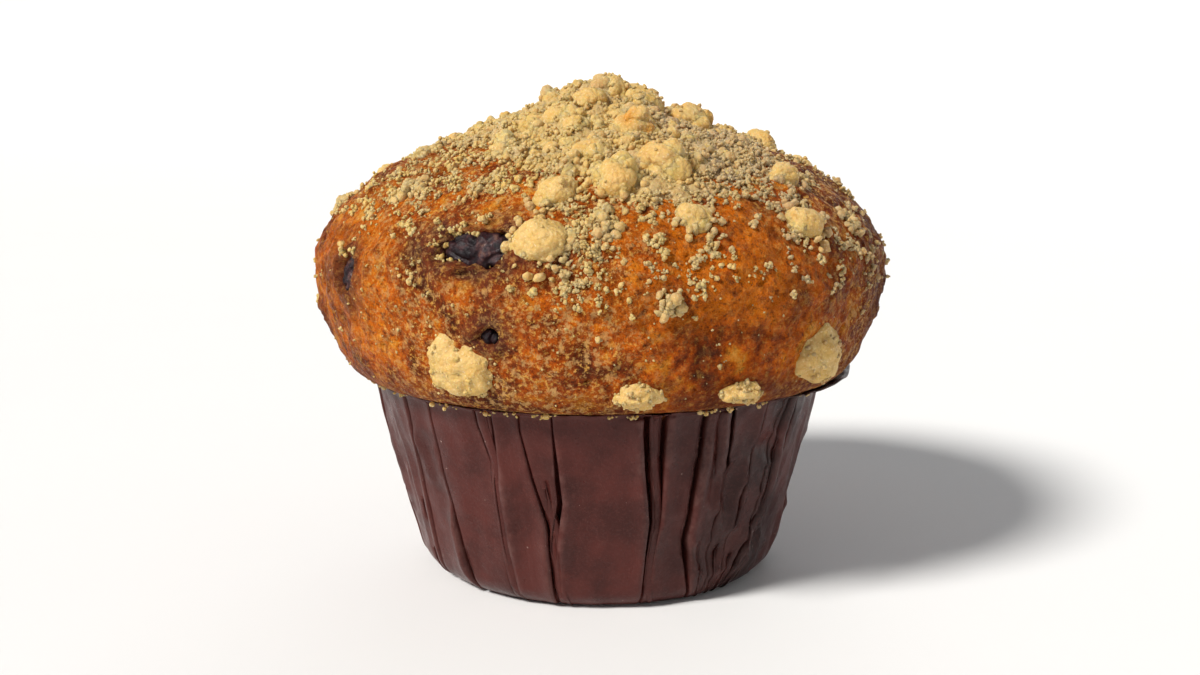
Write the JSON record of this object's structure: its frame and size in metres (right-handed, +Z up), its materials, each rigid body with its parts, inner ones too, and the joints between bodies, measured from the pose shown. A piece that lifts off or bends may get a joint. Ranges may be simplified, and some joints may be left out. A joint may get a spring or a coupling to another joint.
{
  "type": "muffin",
  "caption": "Blueberry muffin with a domed, overhanging top, a heap of pale crumb topping and a dark pleated paper baking case.",
  "frame": {"origin": "centre of the flat bottom of the paper case, on the surface it stands on", "axes": "+Z up through the top of the muffin, -Y the front, +X to the right seen from the front"},
  "size_m": [0.0802, 0.0818, 0.0714],
  "materials": {
    "case_paper": "satin",
    "crust": "matte",
    "streusel": "matte",
    "blueberry": "satin"
  },
  "bodies": {
    "root": {"blueberry_back": "blueberry", "blueberry_back_right": "blueberry", "blueberry_burst": "blueberry", "blueberry_left": "blueberry", "blueberry_left_low": "blueberry", "blueberry_low": "blueberry", "blueberry_right": "blueberry", "blueberry_shoulder": "blueberry", "cake": "crust", "paper_case": "case_paper", "streusel_crumb_01": "streusel", "streusel_crumb_02": "streusel", "streusel_crumb_03": "streusel", "streusel_crumb_04": "streusel", "streusel_crumb_05": "streusel", "streusel_crumb_06": "streusel", "streusel_crumb_07": "streusel", "streusel_crumb_08": "streusel", "streusel_crumb_09": "streusel", "streusel_crumb_10": "streusel", "streusel_crumb_11": "streusel", "streusel_crumb_12": "streusel", "streusel_crumb_13": "streusel", "streusel_crumb_14": "streusel", "streusel_crumb_15": "streusel", "streusel_crumb_16": "streusel", "streusel_crumb_17": "streusel", "streusel_crumb_18": "streusel", "streusel_crumb_19": "streusel", "streusel_crumb_20": "streusel", "streusel_crumb_21": "streusel", "streusel_crumb_22": "streusel", "streusel_crumb_23": "streusel", "streusel_crumb_24": "streusel", "streusel_crumb_25": "streusel", "streusel_crumb_26": "streusel", "streusel_crumb_27": "streusel", "streusel_crumb_28": "streusel", "streusel_crumb_29": "streusel", "streusel_crumb_30": "streusel", "streusel_crumb_31": "streusel", "streusel_crumb_32": "streusel", "streusel_heap": "streusel", "streusel_rim_lump_1": "streusel", "streusel_rim_lump_2": "streusel", "streusel_rim_lump_3": "streusel", "streusel_rim_lump_4": "streusel", "streusel_rim_lump_5": "streusel", "streusel_rim_lump_6": "streusel"}
  },
  "joints": []
}
